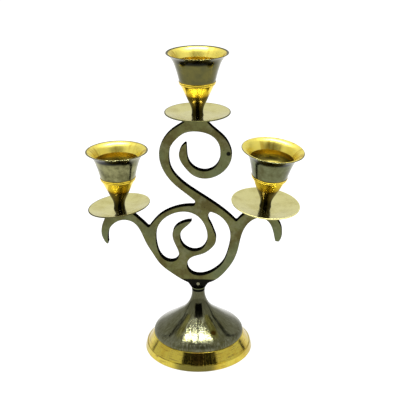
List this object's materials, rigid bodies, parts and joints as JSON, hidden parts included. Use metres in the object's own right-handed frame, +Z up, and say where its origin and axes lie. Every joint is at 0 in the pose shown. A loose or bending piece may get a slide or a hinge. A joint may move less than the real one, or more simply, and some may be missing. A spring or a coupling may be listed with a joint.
{
  "type": "candle stand",
  "caption": "Brass candle stand: a flat cast scroll frame on a bell-shaped base carries flared candle cups over dished drip plates, one at the top and one on each side arm.",
  "frame": {"origin": "centre of the base's foot ring, on the surface that the stand rests on", "axes": "+Z up through the base and the centre cup, +X to the stand's right seen from the front, -Y towards the front"},
  "size_m": [0.1503, 0.0778, 0.22],
  "materials": {
    "frame_brass": "dark oxidised cast brass",
    "base_brass": "turned, dark dome with a polished rim",
    "cup_brass": "turned and polished, dark outside",
    "plate_brass": "polished sheet",
    "steel": "plain"
  },
  "bodies": {
    "stand": {"scroll_frame": "frame_brass", "base": "base_brass", "tie_rod": "steel", "foot_pin": "steel", "base_washer": "steel", "base_nut": "steel", "cup_stud_left": "steel", "cup_stud_centre": "steel", "cup_stud_right": "steel"},
    "plate_left": {"drip_plate_left": "plate_brass"},
    "plate_centre": {"drip_plate_centre": "plate_brass"},
    "plate_right": {"drip_plate_right": "plate_brass"},
    "cup_left": {"candle_cup_left": "cup_brass"},
    "cup_centre": {"candle_cup_centre": "cup_brass"},
    "cup_right": {"candle_cup_right": "cup_brass"}
  },
  "joints": [
    {"name": "plate_lift_left", "type": "slide", "parent": "stand", "child": "plate_left", "axis": [-0.014, 0, 0.9999], "range_m": [0, 0.012]},
    {"name": "plate_lift_centre", "type": "slide", "parent": "stand", "child": "plate_centre", "axis": [0, 0, 1], "range_m": [0, 0.012]},
    {"name": "plate_lift_right", "type": "slide", "parent": "stand", "child": "plate_right", "axis": [0.1042, -0.078, 0.9915], "range_m": [0, 0.012]},
    {"name": "cup_lift_left", "type": "slide", "parent": "plate_left", "child": "cup_left", "axis": [-0.014, 0, 0.9999], "range_m": [0, 0.012]},
    {"name": "cup_lift_centre", "type": "slide", "parent": "plate_centre", "child": "cup_centre", "axis": [0, 0, 1], "range_m": [0, 0.012]},
    {"name": "cup_lift_right", "type": "slide", "parent": "plate_right", "child": "cup_right", "axis": [0.1042, -0.078, 0.9915], "range_m": [0, 0.012]}
  ]
}
